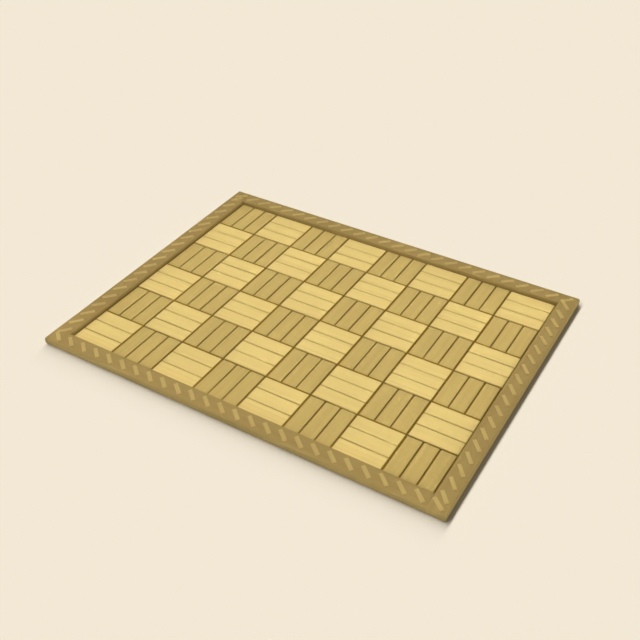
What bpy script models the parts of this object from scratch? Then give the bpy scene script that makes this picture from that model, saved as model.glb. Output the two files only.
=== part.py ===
# Rush mat: a flat basket weave of rush strands held in a thicker sewn border.
# Metres, +Z up. The origin is the middle of the underside, and X is the long side.

import bpy
import bmesh
from math import radians
from mathutils import Matrix, Vector

# Weave: square blocks of three strands, lengthwise and crosswise by turns
COLUMNS = 8
ROWS = 6
STRANDS = 3
STRAND_PITCH = 0.030
BLOCK = STRANDS * STRAND_PITCH
STRAND_WIDTH = 0.0268
STRAND_THICK = 0.004
FLOAT_LENGTH = 0.0852
FLOAT_CHAMFER = 0.0006
FIELD_X = COLUMNS * BLOCK / 2
FIELD_Y = ROWS * BLOCK / 2

# Border: strips that stand above the weave, with its thin edge inside them
BORDER_WIDTH = 0.030
BORDER_HEIGHT = 0.0146
BORDER_MARGIN = 0.0023
BORDER_EDGE = 0.0018
BORDER_EDGE_STEPS = 2
CORNER_RADIUS = 0.005
CORNER_STEPS = 4
INNER_X = FIELD_X + BORDER_MARGIN
INNER_Y = FIELD_Y + BORDER_MARGIN
OUTER_X = INNER_X + BORDER_WIDTH
OUTER_Y = INNER_Y + BORDER_WIDTH

# Selvedge: the flattened strand ends that lie in the border's groove
SELVEDGE_REACH = 0.014
SELVEDGE_LOW = 0.0018
SELVEDGE_HIGH = 0.0038

# Stitches: short slanted rush stitches, one to a strand's width
STITCH_PITCH = STRAND_PITCH
STITCH_LENGTH = 0.027
STITCH_WIDTH = 0.0070
STITCH_PROUD = 0.0017
STITCH_CHAMFER = 0.0007
STITCH_SLANT = radians(40)
STITCHES_ALONG_X = 26
STITCHES_ALONG_Y = 19
LINE_X = (INNER_X + OUTER_X) / 2
LINE_Y = (INNER_Y + OUTER_Y) / 2

# Neighbours are this far apart, and joined shapes run this far into each other
GAP = 0.0003
SINK = 0.001

LIGHT_RUSH = (0.76, 0.58, 0.20)
BORDER_RUSH = (0.34, 0.24, 0.076)
RUSH_ROUGHNESS = 0.75


def clear_scene():
    for old in list(bpy.data.objects):
        bpy.data.objects.remove(old, do_unlink=True)


def new_collection(name):
    collection = bpy.data.collections.new(name)
    bpy.context.scene.collection.children.link(collection)
    return collection


def rush_material(name, colour):
    material = bpy.data.materials.new(name)
    material.use_nodes = True
    shader = material.node_tree.nodes["Principled BSDF"]
    shader.inputs["Base Color"].default_value = (*colour, 1.0)
    shader.inputs["Roughness"].default_value = RUSH_ROUGHNESS
    shader.inputs["Metallic"].default_value = 0.0
    return material


def new_block(low, high):
    # A box from its lowest to its highest corner
    low = Vector(low)
    size = Vector(high) - low
    block = bmesh.new()
    place = Matrix.Translation(low + size / 2) @ Matrix.Diagonal((*size, 1.0))
    bmesh.ops.create_cube(block, size=1.0, matrix=place)
    return block


def edges_along(block, axis):
    found = []
    for edge in block.edges:
        run = edge.verts[1].co - edge.verts[0].co
        if abs(run[axis]) > 0.999 * run.length:
            found.append(edge)
    return found


def round_edges(block, edges, radius, steps):
    bmesh.ops.bevel(block, geom=edges, offset=radius, segments=steps, profile=0.5,
                    affect="EDGES", clamp_overlap=True)


def new_object(name, block, collection):
    mesh = bpy.data.meshes.new(name)
    block.to_mesh(mesh)
    block.free()
    thing = bpy.data.objects.new(name, mesh)
    collection.objects.link(thing)
    return thing


def new_cutter(name, block, collection):
    cutter = new_object(name, block, collection)
    cutter.hide_render = True
    cutter.display_type = "WIRE"
    return cutter


def add_boolean(thing, cutter, operation):
    modifier = thing.modifiers.new(cutter.name, "BOOLEAN")
    modifier.operation = operation
    modifier.solver = "EXACT"
    modifier.object = cutter


def raised_piece(length, width, low, high, chamfer):
    # A bar along X with its top edges chamfered, as a mesh to be placed many times
    block = new_block((-length / 2, -width / 2, low), (length / 2, width / 2, high))
    top = [edge for edge in block.edges if all(vert.co.z > high - chamfer for vert in edge.verts)]
    round_edges(block, top, chamfer, 1)
    mesh = bpy.data.meshes.new("raised_piece")
    block.to_mesh(mesh)
    block.free()
    return mesh


def place_copies(mesh, places):
    # One block with a copy of the mesh at each (x, y, turn)
    block = bmesh.new()
    for x, y, turn in places:
        first = len(block.verts)
        block.from_mesh(mesh)
        block.verts.ensure_lookup_table()
        place = Matrix.Translation((x, y, 0.0)) @ Matrix.Rotation(turn, 4, "Z")
        bmesh.ops.transform(block, matrix=place, verts=block.verts[first:])
    bpy.data.meshes.remove(mesh)
    return block


def float_places():
    # The back left block runs crosswise, and the blocks change like a draughts board
    places = []
    for column in range(COLUMNS):
        for row in range(ROWS):
            x = (column + 0.5) * BLOCK - FIELD_X
            y = FIELD_Y - (row + 0.5) * BLOCK
            crosswise = (column + row) % 2 == 0
            for strand in range(STRANDS):
                offset = (strand - (STRANDS - 1) / 2) * STRAND_PITCH
                if crosswise:
                    places.append((x + offset, y, radians(90)))
                else:
                    places.append((x, y + offset, 0.0))
    return places


def selvedge_plate(grow):
    # The flat plate of strand ends, or with grow the room that the border leaves for it
    x = INNER_X + SELVEDGE_REACH + grow
    y = INNER_Y + SELVEDGE_REACH + grow
    return new_block((-x, -y, SELVEDGE_LOW - grow), (x, y, SELVEDGE_HIGH + grow))


def build_panel(parts, cutters, material):
    # The lower layer is a flat plate, and the floats of the upper layer stand on it
    x = INNER_X - GAP
    y = INNER_Y - GAP
    panel = new_object("panel", new_block((-x, -y, 0.0), (x, y, STRAND_THICK)), parts)
    add_boolean(panel, new_cutter("selvedge", selvedge_plate(0.0), cutters), "UNION")
    top = 2 * STRAND_THICK
    strand = raised_piece(FLOAT_LENGTH, STRAND_WIDTH, STRAND_THICK - SINK, top, FLOAT_CHAMFER)
    floats = place_copies(strand, float_places())
    add_boolean(panel, new_cutter("floats", floats, cutters), "UNION")
    panel.data.materials.append(material)


def side_strip(side):
    # A left (-1) or right (1) strip over the full depth, rounded at its two outer corners
    near, far = sorted((side * INNER_X, side * OUTER_X))
    strip = new_block((near, -OUTER_Y, 0.0), (far, OUTER_Y, BORDER_HEIGHT))
    corners = [edge for edge in edges_along(strip, 2) if abs(edge.verts[0].co.x) > OUTER_X - GAP]
    round_edges(strip, corners, CORNER_RADIUS, CORNER_STEPS)
    rims = [edge for edge in strip.edges if edge.verts[0].co.z == edge.verts[1].co.z]
    round_edges(strip, rims, BORDER_EDGE, BORDER_EDGE_STEPS)
    return strip


def end_strip(side):
    # A front (-1) or back (1) strip that fits between the side strips
    near, far = sorted((side * INNER_Y, side * OUTER_Y))
    x = INNER_X - GAP
    strip = new_block((-x, near, 0.0), (x, far, BORDER_HEIGHT))
    round_edges(strip, edges_along(strip, 0), BORDER_EDGE, BORDER_EDGE_STEPS)
    return strip


def row_along_x(line, slant, count):
    # Evenly spaced stitches about the middle of a front or back side
    runs = [(index - (count - 1) / 2) * STITCH_PITCH for index in range(count)]
    return [(run, line, slant) for run in runs]


def row_along_y(line, slant, count):
    # The same for a left or right side
    return [(line, run, slant) for run, _, _ in row_along_x(0.0, slant, count)]


def corner_stitches(side):
    # The first or last stitch of the front and back rows, which lies on a side strip
    x = side * (STITCHES_ALONG_X - 1) / 2 * STITCH_PITCH
    return [(x, -LINE_Y, -STITCH_SLANT), (x, LINE_Y, STITCH_SLANT)]


def sew_on(border, name, places, cutters):
    stitch = raised_piece(STITCH_LENGTH, STITCH_WIDTH, BORDER_HEIGHT - SINK,
                          BORDER_HEIGHT + STITCH_PROUD, STITCH_CHAMFER)
    add_boolean(border, new_cutter(name, place_copies(stitch, places), cutters), "UNION")


def build_border(parts, cutters, material):
    groove = new_cutter("groove", selvedge_plate(GAP), cutters)
    upright = radians(90) - STITCH_SLANT
    between = STITCHES_ALONG_X - 2
    strips = (
        ("border_front", end_strip(-1), row_along_x(-LINE_Y, -STITCH_SLANT, between)),
        ("border_back", end_strip(1), row_along_x(LINE_Y, STITCH_SLANT, between)),
        ("border_left", side_strip(-1), row_along_y(-LINE_X, upright, STITCHES_ALONG_Y)),
        ("border_right", side_strip(1), row_along_y(LINE_X, -upright, STITCHES_ALONG_Y)),
    )
    for name, strip, row in strips:
        border = new_object(name, strip, parts)
        border.data.materials.append(material)
        add_boolean(border, groove, "DIFFERENCE")
        sew_on(border, name + "_stitches", row, cutters)
    for name, side in (("border_left", -1), ("border_right", 1)):
        sew_on(parts.objects[name], name + "_corners", corner_stitches(side), cutters)


def build_mat():
    clear_scene()
    parts = new_collection("rush_mat")
    cutters = new_collection("cutters")
    build_panel(parts, cutters, rush_material("light_rush", LIGHT_RUSH))
    build_border(parts, cutters, rush_material("border_rush", BORDER_RUSH))


build_mat()
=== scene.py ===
from math import cos, hypot, pi, radians, sin

import bpy
import numpy as np
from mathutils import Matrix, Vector


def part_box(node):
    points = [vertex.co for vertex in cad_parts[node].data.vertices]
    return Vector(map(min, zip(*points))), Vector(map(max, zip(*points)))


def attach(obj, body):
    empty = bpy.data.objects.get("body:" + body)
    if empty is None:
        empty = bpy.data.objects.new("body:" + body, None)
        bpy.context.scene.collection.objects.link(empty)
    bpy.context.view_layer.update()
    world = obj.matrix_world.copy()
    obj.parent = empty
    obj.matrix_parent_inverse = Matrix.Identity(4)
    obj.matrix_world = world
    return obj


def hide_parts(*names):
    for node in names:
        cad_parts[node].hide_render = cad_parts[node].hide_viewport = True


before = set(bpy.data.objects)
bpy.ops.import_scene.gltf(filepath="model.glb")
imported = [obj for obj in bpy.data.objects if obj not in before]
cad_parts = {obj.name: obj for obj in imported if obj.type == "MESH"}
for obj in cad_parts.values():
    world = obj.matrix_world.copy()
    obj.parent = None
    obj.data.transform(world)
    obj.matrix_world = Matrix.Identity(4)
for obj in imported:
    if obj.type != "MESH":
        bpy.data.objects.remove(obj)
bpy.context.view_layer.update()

# Sizes of the weave and its border, in metres. The outer ones come from the parts in model.glb.
mat = {
    "columns": 8,
    "rows": 6,
    "strands": 3,             # to a block
    "borderMargin": 0.0023,   # between the field's blocks and the border
    "selvedgeReach": 0.0138,  # how far a strand's end goes into the border
    "selvedgeLow": 0.0019,    # and the heights between which it lies there
    "selvedgeHigh": 0.0037,
    "grooveLow": 0.0015,      # the room that the border has for it
    "grooveHigh": 0.0041,
    "grooveDepth": 0.0143,
    "stitchPitch": 0.030,
    "stitchProud": 0.0017,    # how far the plain solids' stitches stand above their strip
}
frontLow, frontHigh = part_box("border_front")
rightLow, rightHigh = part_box("border_right")
innerX, outerX = rightLow.x, rightHigh.x
innerY, outerY = -frontHigh.y, -frontLow.y
borderWidth = outerY - innerY
borderHeight = frontHigh.z - mat["stitchProud"]
fieldX = innerX - mat["borderMargin"]
fieldY = innerY - mat["borderMargin"]
block = 2 * fieldX / mat["columns"]


# Camera, floor and light

view = {
    "eye": (0.6654, -1.1078, 1.0286),
    "aim": (0.0001, 0.0008, 0.0080),
    "lens": 50.0,
    "sensor": 36.0,
}
floor = {
    "size": 40.0,
    "colour": (0.87, 0.79, 0.65),
    "thrown": (0.59, 0.70, 0.80),     # the cooler light that it throws back up at the mat
    "roughness": 0.9,
}
sky = {
    "strength": 0.12,
    "backdrop": (0.89, 0.81, 0.665),  # what the camera sees past the floor's far edge
}
# A lamp lights the mat, the floor or all, from a direction given as seen from the mat.
# Its width is in degrees: a narrow one throws a sharp shadow and a wide one a soft one.
lamps = {
    "keyLamp": {"lights": "all", "towards": (-0.38, -0.58, 0.73), "strength": 0.80, "width": 5.0},
    "domeLamp": {"lights": "mat", "towards": (0.0, 0.0, 1.0), "strength": 2.07, "width": 175.0},
    "fillLamp": {"lights": "mat", "towards": (0.90, -0.32, 0.28), "strength": 0.42, "width": 40.0},
}
# A fan of lamps for the floor alone, from above the front to low at the back and all leaning
# to the left. Their shadows run together: sharp at the mat's right side, soft at its front.
fan = {
    "lamps": 8,
    "first": -15.0,
    "last": 75.0,
    "lean": 0.62,
    "strength": 0.424,
    "width": 12.0,
}


def makeGroup(name):
    group = bpy.data.collections.new(name)
    bpy.context.scene.collection.children.link(group)
    return group


def makeCamera():
    lens = bpy.data.cameras.new("camera")
    lens.lens = view["lens"]
    lens.sensor_width = view["sensor"]
    camera = bpy.data.objects.new("camera", lens)
    camera.location = view["eye"]
    look = Vector(view["aim"]) - Vector(view["eye"])
    camera.rotation_euler = look.to_track_quat("-Z", "Y").to_euler()
    bpy.context.scene.collection.objects.link(camera)
    bpy.context.scene.camera = camera


def makeFloor(group):
    half = floor["size"] / 2
    corners = [(-half, -half, 0), (half, -half, 0), (half, half, 0), (-half, half, 0)]
    mesh = bpy.data.meshes.new("floor")
    mesh.from_pydata(corners, [], [(0, 1, 2, 3)])
    plane = bpy.data.objects.new("floor", mesh)
    group.objects.link(plane)
    paint = bpy.data.materials.new("floorPaint")
    paint.use_nodes = True
    tree = paint.node_tree
    shader = tree.nodes["Principled BSDF"]
    ray = addNode(tree, "ShaderNodeLightPath")
    seen = mixColours(tree, ray.outputs["Is Camera Ray"], floor["thrown"], floor["colour"])
    tree.links.new(seen, shader.inputs["Base Color"])
    shader.inputs["Roughness"].default_value = floor["roughness"]
    shader.inputs["Specular IOR Level"].default_value = 0.0
    mesh.materials.append(paint)


def makeLamp(name, towards, strength, width, lit):
    lamp = bpy.data.lights.new(name, "SUN")
    lamp.energy = strength
    lamp.angle = radians(width)
    holder = bpy.data.objects.new(name, lamp)
    holder.rotation_euler = Vector(towards).to_track_quat("Z", "Y").to_euler()
    bpy.context.scene.collection.objects.link(holder)
    if lit is not None:
        holder.light_linking.receiver_collection = lit


def makeLight(groups):
    for name, setting in lamps.items():
        # A lamp that lights all has no group
        lit = groups.get(setting["lights"])
        makeLamp(name, setting["towards"], setting["strength"], setting["width"], lit)
    step = (fan["last"] - fan["first"]) / fan["lamps"]
    reach = hypot(1, fan["lean"])
    for number in range(fan["lamps"]):
        turn = radians(fan["first"] + (number + 0.5) * step)
        towards = (-fan["lean"] * cos(turn) / reach, sin(turn), cos(turn) / reach)
        name = "fanLamp" + str(number + 1)
        makeLamp(name, towards, fan["strength"], fan["width"], groups["floor"])


def makeSky():
    # The camera sees a backdrop like the floor, and all else is lit by a weak white sky
    world = bpy.data.worlds.new("studio")
    world.use_nodes = True
    tree = world.node_tree
    light = tree.nodes["Background"]
    light.inputs["Color"].default_value = (1.0, 1.0, 1.0, 1.0)
    light.inputs["Strength"].default_value = sky["strength"]
    backdrop = addNode(tree, "ShaderNodeBackground", Color=(*sky["backdrop"], 1.0), Strength=1.0)
    ray = addNode(tree, "ShaderNodeLightPath")
    mix = addNode(tree, "ShaderNodeMixShader")
    tree.links.new(ray.outputs["Is Camera Ray"], mix.inputs["Fac"])
    tree.links.new(light.outputs["Background"], mix.inputs[1])
    tree.links.new(backdrop.outputs["Background"], mix.inputs[2])
    tree.links.new(mix.outputs["Shader"], tree.nodes["World Output"].inputs["Surface"])
    bpy.context.scene.world = world
    bpy.context.scene.view_settings.view_transform = "Standard"
    bpy.context.scene.view_settings.look = "None"


# Shader groups that all the rush materials share

# What they draw, with scales in features to the metre
texture = {
    "streak": {"alongScale": 9.0, "acrossScale": 520.0, "detail": 3.0, "roughness": 0.5},
    "fibre": {"alongScale": 30.0, "acrossScale": 1900.0, "detail": 2.0, "roughness": 0.5},
    "fade": {"scale": 6.0, "detail": 2.0, "roughness": 0.5},
    "fleck": {"scale": 130.0, "detail": 2.0, "roughness": 0.6},
    "seedStep": 7.31,         # sets a rush's noise apart from its neighbour's
    "streakHeight": 0.5,
    "fibreHeight": 0.5,
    "fleckFrom": 0.60,        # flecks show where their noise is above this
    "fleckTo": 0.72,          # and in full above this
    "raggedEdge": 0.2,        # how far the streaks break up the painted shade's edge
    # the painted shade fades in between these two values of its mask
    "paintedShadeFrom": 0.10,
    "paintedShadeTo": 0.90,
}


def newGroup(name, inputs, outputs):
    group = bpy.data.node_groups.new(name, "ShaderNodeTree")
    for label, kind, value in inputs:
        made = group.interface.new_socket(name=label, in_out="INPUT", socket_type=kind)
        if value is not None:
            made.default_value = value
    for label, kind in outputs:
        group.interface.new_socket(name=label, in_out="OUTPUT", socket_type=kind)
    return group, group.nodes.new("NodeGroupInput"), group.nodes.new("NodeGroupOutput")


def addNode(tree, kind, settings=None, **values):
    node = tree.nodes.new(kind)
    for name, value in (settings or {}).items():
        setattr(node, name, value)
    for name, value in values.items():
        node.inputs[name].default_value = value
    return node


def addMath(tree, operation, *values):
    # A Math node whose inputs are sockets or plain numbers
    node = addNode(tree, "ShaderNodeMath", {"operation": operation})
    for socket, value in zip(node.inputs, values):
        if isinstance(value, (int, float)):
            socket.default_value = value
        else:
            tree.links.new(value, socket)
    return node.outputs[0]


def addRamp(tree, value, low, high):
    # From 0 to 1 between two values, with soft ends
    node = addNode(tree, "ShaderNodeMapRange", {"interpolation_type": "SMOOTHSTEP"})
    node.inputs["From Min"].default_value = low
    node.inputs["From Max"].default_value = high
    tree.links.new(value, node.inputs["Value"])
    return node.outputs["Result"]


def addNoise(tree, point, scale, detail, roughness):
    noise = addNode(tree, "ShaderNodeTexNoise", Scale=scale, Detail=detail, Roughness=roughness)
    tree.links.new(point, noise.inputs["Vector"])
    return noise.outputs["Fac"]


def mixColours(tree, factor, first, second):
    # A Mix node for colours; each colour is a socket or a plain colour
    node = addNode(tree, "ShaderNodeMix", {"data_type": "RGBA"})
    tree.links.new(factor, node.inputs["Factor"])
    for label, value in (("A", first), ("B", second)):
        if isinstance(value, tuple):
            node.inputs[label].default_value = (*value, 1.0)
        else:
            tree.links.new(value, node.inputs[label])
    return node.outputs["Result"]


def drawnOutNoise(tree, along, across, seed, alongScale, acrossScale, detail, roughness):
    # Noise drawn out along the rush
    point = addNode(tree, "ShaderNodeCombineXYZ")
    tree.links.new(addMath(tree, "MULTIPLY", along, alongScale), point.inputs["X"])
    tree.links.new(addMath(tree, "MULTIPLY", across, acrossScale), point.inputs["Y"])
    tree.links.new(addMath(tree, "MULTIPLY", seed, texture["seedStep"]), point.inputs["Z"])
    return addNoise(tree, point.outputs["Vector"], 1.0, detail, roughness)


def makeGrainGroup():
    # Grain is (along, across, number of the rush), in metres
    group, start, end = newGroup(
        "rushGrain",
        [("Grain", "NodeSocketVector", None), ("Stem Width", "NodeSocketFloat", 0.0045)],
        [("Stem Tone", "NodeSocketFloat"), ("Streak", "NodeSocketFloat"),
         ("Fibre", "NodeSocketFloat"), ("Height", "NodeSocketFloat")],
    )
    split = addNode(group, "ShaderNodeSeparateXYZ")
    group.links.new(start.outputs["Grain"], split.inputs["Vector"])
    along, across, seed = split.outputs["X"], split.outputs["Y"], split.outputs["Z"]
    stem = addMath(group, "FLOOR", addMath(group, "DIVIDE", across, start.outputs["Stem Width"]))
    pick = addNode(group, "ShaderNodeCombineXYZ")
    group.links.new(stem, pick.inputs["X"])
    group.links.new(seed, pick.inputs["Y"])
    tone = addNode(group, "ShaderNodeTexWhiteNoise")
    group.links.new(pick.outputs["Vector"], tone.inputs["Vector"])
    streak = drawnOutNoise(group, along, across, seed, **texture["streak"])
    fibre = drawnOutNoise(group, along, across, seed, **texture["fibre"])
    coarse = addMath(group, "MULTIPLY", streak, texture["streakHeight"])
    height = addMath(group, "MULTIPLY_ADD", fibre, texture["fibreHeight"], coarse)
    group.links.new(tone.outputs["Value"], end.inputs["Stem Tone"])
    group.links.new(streak, end.inputs["Streak"])
    group.links.new(fibre, end.inputs["Fibre"])
    group.links.new(height, end.inputs["Height"])
    return group


def makeAgeGroup():
    # Slow fading over the whole mat, and small dry flecks
    group, start, end = newGroup(
        "rushAge",
        [("Position", "NodeSocketVector", None)],
        [("Fade", "NodeSocketFloat"), ("Fleck", "NodeSocketFloat")],
    )
    slow = addNoise(group, start.outputs["Position"], **texture["fade"])
    quick = addNoise(group, start.outputs["Position"], **texture["fleck"])
    fleck = addRamp(group, quick, texture["fleckFrom"], texture["fleckTo"])
    group.links.new(slow, end.inputs["Fade"])
    group.links.new(fleck, end.inputs["Fleck"])
    return group


def makePaintedShadeGroup():
    # Painted shade: a dull brown mixed into the colour where one rush dips past another, standing in
    # for the shade there
    group, start, end = newGroup(
        "rushPaintedShade",
        [("Color", "NodeSocketColor", None), ("Painted Shade Color", "NodeSocketColor", None),
         ("Painted Shade", "NodeSocketFloat", 0.0), ("Break", "NodeSocketFloat", 0.5)],
        [("Color", "NodeSocketColor")],
    )
    uneven = addMath(group, "SUBTRACT", start.outputs["Break"], 0.5)
    ragged = addMath(group, "MULTIPLY_ADD", uneven, texture["raggedEdge"], start.outputs["Painted Shade"])
    shadeShare = addRamp(group, ragged, texture["paintedShadeFrom"], texture["paintedShadeTo"])
    mixed = mixColours(group, shadeShare, start.outputs["Color"], start.outputs["Painted Shade Color"])
    group.links.new(mixed, end.inputs["Color"])
    return group


# Finishes. Deep and pale are the two ends of a rush's own colour, and the shares say how
# much of the change between them comes from each cause.
strandFinish = {
    # this colour is painted shade for the dips and gaps between rushes
    "paintedShade": (0.33, 0.195, 0.022),
    "stemWidth": 0.0049,
    "stemShare": 0.22,
    "streakShare": 0.44,
    "fibreShare": 0.18,
    "fadeShare": 0.16,
    "fleckShare": 0.10,
    "roughLow": 0.55,
    "roughHigh": 0.80,
    "bump": 0.4,
    "bumpDepth": 0.00016,
    "shine": 0.12,
}
looks = {
    "light_rush": {
        **strandFinish,
        "deep": (0.70, 0.515, 0.158),
        "pale": (0.90, 0.695, 0.254),
        "fleck": (0.50, 0.35, 0.115),
    },
    "dark_rush": {
        **strandFinish,
        "deep": (0.50, 0.353, 0.096),
        "pale": (0.67, 0.490, 0.160),
        "fleck": (0.36, 0.245, 0.078),
    },
    "border_rush": {
        "deep": (0.31, 0.210, 0.0585),
        "pale": (0.42, 0.2925, 0.0943),
        "fleck": (0.24, 0.161, 0.049),
        # a painted shade colour that the strips never show, as their shade mask is all zero
        "paintedShade": (0.17, 0.10, 0.022),
        "stemWidth": 0.0048,
        "stemShare": 0.20,
        "streakShare": 0.44,
        "fibreShare": 0.20,
        "fadeShare": 0.16,
        "fleckShare": 0.10,
        "roughLow": 0.60,
        "roughHigh": 0.85,
        "bump": 0.4,
        "bumpDepth": 0.00018,
        "shine": 0.12,
    },
    "stitch_rush": {
        "deep": (0.45, 0.318, 0.099),
        "pale": (0.59, 0.431, 0.1465),
        "fleck": (0.34, 0.234, 0.0755),
        # painted shade colour for a stitch's foot
        "paintedShade": (0.20, 0.125, 0.032),
        "stemWidth": 0.0023,
        "stemShare": 0.25,
        "streakShare": 0.45,
        "fibreShare": 0.12,
        "fadeShare": 0.18,
        "fleckShare": 0.06,
        "roughLow": 0.55,
        "roughHigh": 0.80,
        "bump": 0.35,
        "bumpDepth": 0.00014,
        "shine": 0.12,
    },
}
rushGroups = {}


def placeGroup(tree, name):
    return addNode(tree, "ShaderNodeGroup", {"node_tree": rushGroups[name]})


def makeRushMaterial(name, look):
    material = bpy.data.materials.new(name)
    material.use_nodes = True
    tree = material.node_tree
    shader = tree.nodes["Principled BSDF"]
    grainRead = addNode(tree, "ShaderNodeAttribute", {"attribute_name": "grain"})
    paintedShadeRead = addNode(tree, "ShaderNodeAttribute", {"attribute_name": "paintedShade"})
    place = addNode(tree, "ShaderNodeTexCoord")

    grain = placeGroup(tree, "rushGrain")
    grain.inputs["Stem Width"].default_value = look["stemWidth"]
    tree.links.new(grainRead.outputs["Vector"], grain.inputs["Grain"])
    age = placeGroup(tree, "rushAge")
    tree.links.new(place.outputs["Object"], age.inputs["Position"])
    blend = addMath(tree, "MULTIPLY", grain.outputs["Stem Tone"], look["stemShare"])
    blend = addMath(tree, "MULTIPLY_ADD", grain.outputs["Streak"], look["streakShare"], blend)
    blend = addMath(tree, "MULTIPLY_ADD", grain.outputs["Fibre"], look["fibreShare"], blend)
    blend = addMath(tree, "MULTIPLY_ADD", age.outputs["Fade"], look["fadeShare"], blend)
    colour = mixColours(tree, blend, look["deep"], look["pale"])
    flecks = addMath(tree, "MULTIPLY", age.outputs["Fleck"], look["fleckShare"])
    colour = mixColours(tree, flecks, colour, look["fleck"])

    # Painted shade: a dark brown mixed in where the mask says a face lies in a dip or gap
    paintedShade = placeGroup(tree, "rushPaintedShade")
    paintedShade.inputs["Painted Shade Color"].default_value = (*look["paintedShade"], 1.0)
    tree.links.new(colour, paintedShade.inputs["Color"])
    tree.links.new(paintedShadeRead.outputs["Fac"], paintedShade.inputs["Painted Shade"])
    tree.links.new(grain.outputs["Streak"], paintedShade.inputs["Break"])
    tree.links.new(paintedShade.outputs["Color"], shader.inputs["Base Color"])

    rough = addNode(tree, "ShaderNodeMapRange")
    rough.inputs["To Min"].default_value = look["roughLow"]
    rough.inputs["To Max"].default_value = look["roughHigh"]
    tree.links.new(grain.outputs["Streak"], rough.inputs["Value"])
    tree.links.new(rough.outputs["Result"], shader.inputs["Roughness"])
    bump = addNode(tree, "ShaderNodeBump", Strength=look["bump"], Distance=look["bumpDepth"])
    tree.links.new(grain.outputs["Height"], bump.inputs["Height"])
    tree.links.new(bump.outputs["Normal"], shader.inputs["Normal"])
    shader.inputs["Specular IOR Level"].default_value = look["shine"]
    return material


# Mesh helpers: a piece is made of bands, and a band is a row of closed rings of points

class Bands:
    def __init__(self):
        self.points = []
        self.grain = []
        self.paintedShade = []
        self.quads = []
        self.caps = []
        self.count = 0

    def add(self, rings, grain, paintedShade, flipped=False):
        # rings and grain are (ring, point, 3) arrays, and the painted shade mask is (ring, point)
        if flipped:
            rings, grain, paintedShade = rings[:, ::-1], grain[:, ::-1], paintedShade[:, ::-1]
        rows, around = rings.shape[:2]
        index = self.count + np.arange(rows * around).reshape(rows, around)
        beside = np.roll(index, -1, axis=1)
        quads = np.stack([index[:-1], index[1:], beside[1:], beside[:-1]], axis=-1)
        self.points.append(rings.reshape(-1, 3))
        self.grain.append(grain.reshape(-1, 3))
        self.paintedShade.append(paintedShade.reshape(-1))
        self.quads.append(quads.reshape(-1, 4))
        self.caps.append(index[0])
        self.caps.append(index[-1][::-1])
        self.count += rows * around

    def build(self, name, material, sharpFrom):
        faces = np.concatenate(self.quads).tolist()
        faces += [cap.tolist() for cap in self.caps]
        mesh = bpy.data.meshes.new(name)
        mesh.from_pydata(np.concatenate(self.points).tolist(), [], faces)
        grain = mesh.attributes.new("grain", "FLOAT_VECTOR", "POINT")
        grain.data.foreach_set("vector", np.concatenate(self.grain).astype(np.float32).ravel())
        # The painted shade mask goes on the mesh for the materials to read
        paintedShade = mesh.attributes.new("paintedShade", "FLOAT", "POINT")
        paintedShade.data.foreach_set("value", np.concatenate(self.paintedShade).astype(np.float32))
        mesh.shade_smooth()
        mesh.set_sharp_from_angle(angle=radians(sharpFrom))
        mesh.materials.append(material)
        piece = bpy.data.objects.new(name, mesh)
        matPieces.objects.link(piece)
        return piece


def smoothStep(low, high, value):
    share = np.clip((value - low) / (high - low), 0.0, 1.0)
    return share * share * (3 - 2 * share)


def softRamp(low, high, value):
    # From 0 to 1 in a nearly straight slope with its two bends eased
    share = np.clip((value - low) / (high - low), 0.0, 1.0)
    return 0.5 * share + 0.5 * share * share * (3 - 2 * share)


def quarterArc(steps):
    return [radians(90 * step / steps) for step in range(steps + 1)]


def joinStations(places):
    # In order, and as one where two of them meet
    return np.unique(np.round(np.concatenate(places), 7))


# The woven field: flat strands of six stems that go over three and under three

strand = {
    "pitch": 0.0294,          # within a block, a little closer than a third of it
    "longWidth": 0.0277,      # of a lengthwise strand where it lies over, and a crosswise one
    "crossWidth": 0.0267,
    "underWidth": 0.0289,
    "thick": 0.0040,
    "layerGap": 0.00004,      # the two layers lie this far apart
    "topDipStart": 0.0026,    # the upper face bends down this far before a block's edge
    "topDipEnd": 0.0012,
    "underDipStart": 0.0003,
    "underDipEnd": 0.0022,
    "dipReach": 0.0030,
    "dipSteps": 9,
    "floatSteps": 3,
    "heldStep": 0.0040,       # from the last dip to the next station, inside the border
    "endStep": 0.0004,        # between a strand's last two stations
    "edgeRound": 0.0012,
    "leastRounds": 2.3,       # a strand is always this many of its edge's roundings thick
    "upperSteps": 3,
    "lowerSteps": 2,
    "stems": 6,
    "stemParts": (0.14, 0.5, 0.86),
    "stemGroove": 0.00016,
    "widthWander": 0.00020,
    "widthRate": 21.0,        # of the slow waves along a strand, in radians to the metre
    "sideWander": 0.00018,
    "sideRate": 13.0,
    "heightWander": 0.00008,
    "heightRate": 37.0,
    "paintedSideShade": 0.35,       # how much painted shade a strand's sides get
    "paintedFootShade": 0.50,       # and how much where they meet what lies beneath
    "unshadedFrom": 0.70,        # a face's painted shade fades out between these two shares of its way out
    "unshadedTo": 0.97,
    "seed": 4,
    "crossNumber": 40,        # the crosswise rushes are numbered from here
    "sharpFrom": 80.0,
}


def strandStations(half, blocks):
    # Places along a strand: close together at each block's edge, and sparse on the floats
    reach = strand["dipReach"]
    dip = np.linspace(-reach, reach, strand["dipSteps"])
    places = [-half + edge * block + dip for edge in range(blocks + 1)]
    for index in range(blocks):
        low = -half + index * block + reach
        high = low + block - 2 * reach
        places.append(np.linspace(low, high, strand["floatSteps"] + 2)[1:-1])
    tip = half + mat["borderMargin"] + mat["selvedgeReach"]
    held = half + reach + strand["heldStep"]
    for side in (-1, 1):
        places.append(side * np.array([held, tip - strand["endStep"], tip]))
    return joinStations(places)


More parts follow.
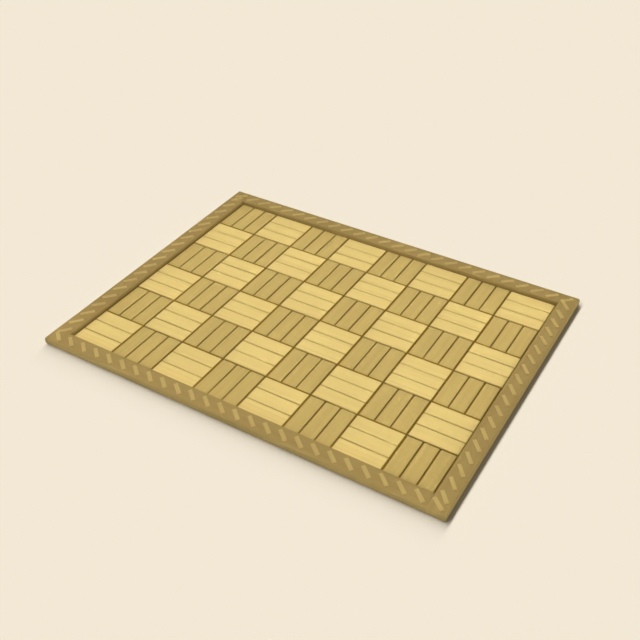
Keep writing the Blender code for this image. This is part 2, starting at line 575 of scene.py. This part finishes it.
def coverAt(at, half, blocks, overFirst, before, after):
    # How far over (1) or under (0): a slope starts this far before a block's edge
    # on the side where the strand lies over, and ends this far after it
    cover = np.zeros(len(at))
    beyond = half + block
    for index in range(blocks):
        if (index % 2 == 0) != overFirst:
            continue
        low = -half + index * block if index > 0 else -beyond
        high = -half + (index + 1) * block if index < blocks - 1 else beyond
        rise = softRamp(low - after, low + before, at)
        fall = softRamp(high - before, high + after, at)
        cover += rise - fall
    return cover


def strandSection():
    # Points round a strand. Each has its place across, its share of the rounded edge across,
    # whether it hangs from the upper face (1) or the lower one (0), its share of the rounding
    # in height, and whether it lies in a groove between two stems. The lower face has every
    # second point of the upper one.
    stems = strand["stems"]
    parts = strand["stemParts"]
    face = []
    for stem in range(stems):
        if stem > 0:
            face.append((2 * stem / stems - 1, 1))
        for part in parts:
            atLeft = stem == 0 and part == parts[0]
            atRight = stem == stems - 1 and part == parts[-1]
            if not atLeft and not atRight:
                face.append((2 * (stem + part) / stems - 1, 0))
    upperArc = quarterArc(strand["upperSteps"])
    lowerArc = quarterArc(strand["lowerSteps"])
    points = [(place, 0.0, 1, 0.0, dent) for place, dent in face]
    points += [(1.0, sin(turn), 1, cos(turn) - 1, 0) for turn in upperArc]
    points += [(1.0, sin(turn), 0, 1 - cos(turn), 0) for turn in lowerArc[::-1]]
    points += [(place, 0.0, 0, 0.0, dent) for place, dent in face[::-2]]
    points += [(-1.0, -sin(turn), 0, 1 - cos(turn), 0) for turn in lowerArc]
    points += [(-1.0, -sin(turn), 1, cos(turn) - 1, 0) for turn in upperArc[::-1]]
    return np.array(points).T


def makeStrand(bands, half, blocks, overFirst, offset, seed, crosswise, chance):
    at = strandStations(half, blocks)
    topCover = coverAt(at, half, blocks, overFirst, strand["topDipStart"], strand["topDipEnd"])
    underCover = coverAt(at, half, blocks, overFirst, strand["underDipStart"], strand["underDipEnd"])
    inBorder = half + mat["borderMargin"]
    topHeld = softRamp(half - strand["topDipStart"], inBorder, np.abs(at))
    underHeld = softRamp(half - strand["underDipStart"], inBorder, np.abs(at))
    wave = chance.uniform(0, 2 * pi, 3)
    droop = strand["heightWander"] * (1 + np.sin(at * strand["heightRate"] + wave[0]))
    top = strand["thick"] * (1 + topCover) - droop * topCover - strand["layerGap"]
    top = top * (1 - topHeld) + mat["selvedgeHigh"] * topHeld
    under = strand["thick"] * underCover * (1 - underHeld) + mat["selvedgeLow"] * underHeld
    cover = (topCover + underCover) / 2
    overWidth = strand["crossWidth"] if crosswise else strand["longWidth"]
    width = strand["underWidth"] + (overWidth - strand["underWidth"]) * cover
    width += strand["widthWander"] * np.sin(at * strand["widthRate"] + wave[1])
    sway = strand["sideWander"] * np.sin(at * strand["sideRate"] + wave[2])
    rounding = np.minimum(strand["edgeRound"], (top - under) / strand["leastRounds"])[:, None]

    place, corner, upper, drop, dent = strandSection()
    isUpper = upper > 0.5
    across = place * (width[:, None] / 2 - rounding) + corner * rounding
    height = np.where(isUpper, top[:, None], under[:, None]) + drop * rounding
    height += np.where(isUpper, -dent, dent) * strand["stemGroove"] * (1 - topHeld[:, None])
    side = offset + sway[:, None] + across
    run = np.broadcast_to(at[:, None], across.shape)
    rings = np.stack([side, run, height] if crosswise else [run, side, height], axis=-1)

    # Painted shade: none on a float's outward face, a little on its sides, and more on what dips
    # under, standing in for the shade in the gaps between rushes
    low, high = strand["unshadedFrom"], strand["unshadedTo"]
    topShown = smoothStep(low, high, topCover * (1 - topHeld))
    underShown = smoothStep(low, high, (1 - underCover) * (1 - underHeld))
    footShown = np.maximum(underShown, topShown * (1 - strand["paintedFootShade"]))
    shown = np.where(isUpper, topShown[:, None], footShown[:, None])
    paintedShade = np.maximum(1 - shown, strand["paintedSideShade"] * np.abs(drop))
    fromEdge = across + strand["underWidth"] / 2
    grain = np.stack([run, fromEdge, np.full(across.shape, float(seed))], axis=-1)
    bands.add(rings, grain, paintedShade, flipped=crosswise)


def weaveField():
    chance = np.random.default_rng(strand["seed"])
    middle = (mat["strands"] - 1) / 2
    lengthwise = Bands()
    for row in range(mat["rows"]):
        for number in range(mat["strands"]):
            offset = fieldY - (row + 0.5) * block - (number - middle) * strand["pitch"]
            seed = row * mat["strands"] + number
            overFirst = row % 2 == 1
            makeStrand(lengthwise, fieldX, mat["columns"], overFirst, offset, seed, False, chance)
    crosswise = Bands()
    for column in range(mat["columns"]):
        for number in range(mat["strands"]):
            offset = (column + 0.5) * block - fieldX + (number - middle) * strand["pitch"]
            seed = strand["crossNumber"] + column * mat["strands"] + number
            overFirst = (column + mat["rows"] - 1) % 2 == 0
            makeStrand(crosswise, fieldY, mat["rows"], overFirst, offset, seed, True, chance)
    longPiece = lengthwise.build("lengthwiseStrands", rush["light_rush"], strand["sharpFrom"])
    crossPiece = crosswise.build("crosswiseStrands", rush["dark_rush"], strand["sharpFrom"])
    return longPiece, crossPiece


# The stitches: short flat rushes, each end turned down into the border. Each row keeps the
# strands' pitch, and its slant turns with the side.

stitch = {
    "length": 0.027,
    "width": 0.0072,
    "proud": 0.0010,          # above the border, where the plain solids' stand a little higher
    "sink": 0.0012,
    "slant": 40.0,
    "endRound": 0.0012,
    "endTurns": (0, 20, 40, 60, 80, 90),
    "topParts": (-0.25, 0.0, 0.25),
    "edgeRound": 0.0006,
    "edgeSteps": 3,
    "threads": 3,
    "threadParts": (0.12, 0.5, 0.88),
    "threadGroove": 0.00012,
    "alongX": 26,
    "alongY": 19,
    "lengthWander": 0.0004,
    "slantWander": 1.2,
    "heightWander": 0.08,
    "paintedFootShade": 0.8,        # how much painted shade its foot gets
    "paintedShadeFrom": 0.6,        # the painted shade starts this far down to the border
    "paintedShadeTo": 1.1,
    "seed": 11,
    "rowNumber": 100,         # each row's rushes are numbered from the next multiple of this
    "sharpFrom": 60.0,
    # How far towards the back each row lies from its even place
    "nudge": {"front": -0.0016, "back": -0.0016, "left": -0.0002, "right": -0.0022},
}


def layStitches():
    # For each side, a row of (x, y, turn, length, height above the border)
    chance = np.random.default_rng(stitch["seed"])
    slant = stitch["slant"]
    lineX, lineY = (innerX + outerX) / 2, (innerY + outerY) / 2
    sides = (("front", -1, True), ("back", 1, True), ("left", -1, False), ("right", 1, False))
    rows = {}
    for name, side, alongX in sides:
        count = stitch["alongX"] if alongX else stitch["alongY"]
        places = []
        for index in range(count):
            run = (index - (count - 1) / 2) * mat["stitchPitch"]
            x, y = (run, side * lineY) if alongX else (side * lineX, run)
            y += stitch["nudge"][name]
            turn = side * slant if alongX else side * (slant - 90)
            turn += chance.uniform(-1, 1) * stitch["slantWander"]
            length = stitch["length"] + chance.uniform(-1, 1) * stitch["lengthWander"]
            proud = stitch["proud"] * (1 + chance.uniform(-1, 1) * stitch["heightWander"])
            places.append((x, y, radians(turn), length, proud))
        rows[name] = places
    return rows


def stitchStations(length, top):
    # Along a stitch: how far from its middle, and how high it lies there
    bend = stitch["endRound"]
    arc = [radians(turn) for turn in stitch["endTurns"]]
    turned = [(length / 2 - bend * (1 - cos(turn)), top - bend * (1 - sin(turn))) for turn in arc]
    stations = [(-along, height) for along, height in turned]
    stations += [(length * part, top) for part in stitch["topParts"]]
    stations += turned[::-1]
    return np.array(stations)


def stitchSection():
    # Across a stitch: its place, its drop from the top, and whether it reaches the base
    half, edge = stitch["width"] / 2, stitch["edgeRound"]
    flat = half - edge
    threads = stitch["threads"]
    points = []
    for thread in range(threads):
        if thread > 0:
            points.append((flat * (2 * thread / threads - 1), stitch["threadGroove"], 0))
        for part in stitch["threadParts"]:
            points.append((flat * (2 * (thread + part) / threads - 1), 0.0, 0))
    arc = quarterArc(stitch["edgeSteps"])[1:]
    points += [(flat + edge * sin(turn), edge * (1 - cos(turn)), 0) for turn in arc]
    points += [(half, 0.0, 1), (-half, 0.0, 1)]
    points += [(-flat - edge * sin(turn), edge * (1 - cos(turn)), 0) for turn in arc[::-1]]
    return np.array(points).T


def makeStitch(bands, x, y, turn, length, proud, seed):
    top = borderHeight + proud
    base = borderHeight - stitch["sink"]
    stations = stitchStations(length, top)
    place, drop, grounded = stitchSection()
    along = np.broadcast_to(stations[:, :1], (len(stations), len(place)))
    across = np.broadcast_to(place, along.shape)
    height = np.where(grounded > 0.5, base, stations[:, 1:] - drop)
    worldX = x + along * cos(turn) - across * sin(turn)
    worldY = y + along * sin(turn) + across * cos(turn)
    rings = np.stack([worldX, worldY, height], axis=-1)
    fromEdge = across + stitch["width"] / 2
    grain = np.stack([along, fromEdge, np.full(along.shape, float(seed))], axis=-1)
    # Painted shade darkens a stitch towards its foot, where it turns down into the border
    shadeShare = smoothStep(stitch["paintedShadeFrom"], stitch["paintedShadeTo"], (top - height) / proud)
    bands.add(rings, grain, stitch["paintedFootShade"] * shadeShare)


def sewRow(name, places, firstSeed):
    bands = Bands()
    for number, (x, y, turn, length, proud) in enumerate(places):
        makeStitch(bands, x, y, turn, length, proud, firstSeed + number)
    return bands.build(name, rush["stitch_rush"], stitch["sharpFrom"])


# The border: four strips that butt at the corners, with a groove for the field's edge

border = {
    "round": 0.0038,          # of the outer edges
    "outerBulge": 0.0023,     # how far its rounded faces stand proud of the plain strip's
    "innerRound": 0.0020,     # of the upper inner edge
    "innerBulge": 0.0006,
    "innerFoot": 0.0005,      # of the lower inner edge
    "roundSteps": 6,
    "footSteps": 3,
    "bulgeParts": (0.25, 0.5, 0.75),
    "baseParts": (0.6, 0.3),
    "cornerRound": 0.0012,    # of the mat's corners, seen from above
    "endSteps": 8,
    "jointRound": 0.0003,
    "jointGap": 0.00008,
    "jointFade": 0.0040,      # a side strip's inner bulge fades out over this length
    "jointSteps": 10,
    "grooveFade": 0.0002,     # and its groove closes over this one
    "step": 0.0024,
    "stems": 6,
    "stemParts": (0.2, 0.5, 0.8),
    "stemGroove": 0.00015,
    "dimple": 0.00040,        # how deep a stitch's end presses the border in
    "dimpleReach": 0.0040,    # it is a seventh as deep this far from its middle
    "dimpleBelow": 0.0005,    # it presses only what lies within this depth of the top
    "sharpFrom": 50.0,
}
endY = outerY + border["outerBulge"]
bulgeEnd = innerY - border["innerBulge"]
roundEnd = bulgeEnd + border["innerRound"]
grooveEnd = innerY + mat["grooveDepth"]
grooveStop = grooveEnd + border["grooveFade"]


def stripSection(innerBulge, innerRound, grooveDepth):
    # Points round a strip: across, from the plain strip's inner face, and height. Where it has
    # no groove, the groove's four points lie evenly up its inner face.
    height, bend, foot = borderHeight, border["round"], border["innerFoot"]
    outer = borderWidth + border["outerBulge"]
    low, high = mat["grooveLow"], mat["grooveHigh"]
    arc = quarterArc(border["roundSteps"])
    stems = border["stems"]
    flatStart = innerRound - innerBulge
    flatWidth = outer - bend - flatStart
    points = []
    for stem in range(stems):
        if stem > 0:
            points.append((flatStart + flatWidth * stem / stems, height - border["stemGroove"]))
        for part in border["stemParts"]:
            points.append((flatStart + flatWidth * (stem + part) / stems, height))
    points += [(outer - bend * (1 - sin(turn)), height - bend * (1 - cos(turn))) for turn in arc]
    points.append((outer, height / 2))
    points += [(outer - bend * (1 - cos(turn)), bend * (1 - sin(turn))) for turn in arc]
    points += [(borderWidth * part, 0.0) for part in border["baseParts"]]
    footArc = quarterArc(border["footSteps"])
    points += [(foot * (1 - sin(turn)), foot * (1 - cos(turn))) for turn in footArc]
    floorShare = 0.0 if grooveDepth > 0 else 1 / 3
    groove = ((0.0, 0.0), (grooveDepth, floorShare), (grooveDepth, 1 - floorShare), (0.0, 1.0))
    points += [(depth, low + (high - low) * share) for depth, share in groove]
    rise = height - innerRound - high
    for part in border["bulgeParts"]:
        points.append((-innerBulge * sin(part * pi / 2), high + rise * part))
    for turn in arc:
        across = innerRound * (1 - cos(turn)) - innerBulge
        points.append((across, height - innerRound * (1 - sin(turn))))
    return np.array(points)


def stripStations(alongX):
    if alongX:
        end = innerX - border["jointGap"]
        return np.linspace(-end, end, int(2 * end / border["step"]) + 1)
    # The side strips' stations crowd together at the joints and round the mat's corners
    bend = border["round"]
    turns = np.linspace(0, pi / 2, border["endSteps"] + 1)
    tip = endY - bend * (1 - np.sin(turns))
    straight = np.linspace(bend - endY, endY - bend, int(2 * endY / border["step"]))
    joint = np.linspace(bulgeEnd - border["jointFade"], roundEnd, border["jointSteps"])
    groove = np.array([grooveEnd, grooveStop])
    return joinStations([straight, tip, -tip, joint, -joint, groove, -groove])


def pressDimples(x, y, height, places):
    # The border's top sinks a little where each end of a stitch goes in
    for middleX, middleY, turn, length, _ in places:
        for end in (-0.5, 0.5):
            tipX = middleX + end * length * cos(turn)
            tipY = middleY + end * length * sin(turn)
            away = ((x - tipX) ** 2 + (y - tipY) ** 2) / border["dimpleReach"] ** 2
            height -= border["dimple"] * np.exp(-2 * away)


def roundOff(radius, fromEnd):
    # How far a rounded end has drawn in at this distance from its tip
    short = np.clip(radius - fromEnd, 0, radius)
    return radius - np.sqrt(np.maximum(radius ** 2 - short ** 2, 0))


def sideStripShape(at):
    # A side strip's rings. Where the front and back strips meet it, its inner edge is square,
    # past them it has no groove, and its ends are rounded as its outer face is.
    away = np.abs(at)[:, None, None]
    plain = stripSection(border["innerBulge"], border["innerRound"], mat["grooveDepth"])
    flat = stripSection(0.0, border["innerRound"], mat["grooveDepth"])
    squared = stripSection(0.0, border["jointRound"], mat["grooveDepth"])
    closed = stripSection(0.0, border["jointRound"], 0.0)
    section = plain + (flat - plain) * smoothStep(bulgeEnd - border["jointFade"], bulgeEnd, away)
    section += (squared - flat) * smoothStep(bulgeEnd, roundEnd, away)
    section += (closed - squared) * smoothStep(grooveEnd, grooveStop, away)
    across = section[..., 0].copy()
    height = section[..., 1].copy()
    fromEnd = endY - np.abs(at)
    # At its ends the outer third draws in sideways, and all of it towards half its height
    cut = roundOff(border["cornerRound"], fromEnd)
    across -= cut[:, None] * np.clip(3 * across / borderWidth - 2, 0, 1)
    sink = roundOff(border["round"], fromEnd)
    upper = np.clip(2 * height / borderHeight - 1, 0, 1)
    lower = np.clip(1 - 2 * height / borderHeight, 0, 1)
    height += sink[:, None] * (lower - upper)
    return across, height


def makeStrip(name, side, alongX, places, seed):
    at = stripStations(alongX)
    if alongX:
        plain = stripSection(border["innerBulge"], border["innerRound"], mat["grooveDepth"])
        across = np.repeat(plain[None, :, 0], len(at), axis=0)
        height = np.repeat(plain[None, :, 1], len(at), axis=0)
    else:
        across, height = sideStripShape(at)
    run = np.broadcast_to(at[:, None], across.shape)
    place = side * ((innerY if alongX else innerX) + across)
    x, y = (run, place) if alongX else (place, run)
    top = height > borderHeight - border["dimpleBelow"]
    topHeight = height[top]
    pressDimples(x[top], y[top], topHeight, places)
    height[top] = topHeight
    rings = np.stack([x, y, height], axis=-1)
    grain = np.stack([run, across, np.full(across.shape, float(seed))], axis=-1)
    bands = Bands()
    bands.add(rings, grain, np.zeros(across.shape), flipped=(side > 0) != alongX)
    return bands.build(name, rush["border_rush"], border["sharpFrom"])


matPieces = makeGroup("rushMat")
studioPieces = makeGroup("studio")
makeCamera()
makeFloor(studioPieces)
makeLight({"mat": matPieces, "floor": studioPieces})
makeSky()
print("studio ready")
rushGroups["rushGrain"] = makeGrainGroup()
rushGroups["rushAge"] = makeAgeGroup()
rushGroups["rushPaintedShade"] = makePaintedShadeGroup()
rush = {name: makeRushMaterial(name, look) for name, look in looks.items()}
print("materials ready")
longStrands, crossStrands = weaveField()
print("field woven")
sewn = layStitches()
stitches = {}
for number, (name, places) in enumerate(sewn.items()):
    stitches[name] = sewRow(name + "Stitches", places, stitch["rowNumber"] * (number + 1))
print("stitches made")
# The first and last stitches of the front and back rows lie on the side strips
onLeft = sewn["left"] + [sewn["front"][0], sewn["back"][0]]
onRight = sewn["right"] + [sewn["front"][-1], sewn["back"][-1]]
strips = {
    "front": makeStrip("frontStrip", -1, True, sewn["front"], 1),
    "back": makeStrip("backStrip", 1, True, sewn["back"], 2),
    "left": makeStrip("leftStrip", -1, False, onLeft, 3),
    "right": makeStrip("rightStrip", 1, False, onRight, 4),
}
print("border laid")

edging = [*strips.values(), *stitches.values()]
for piece in [longStrands, crossStrands, *edging]:
    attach(piece, "root")
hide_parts("panel")
for name, strip in strips.items():
    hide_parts("border_" + name)
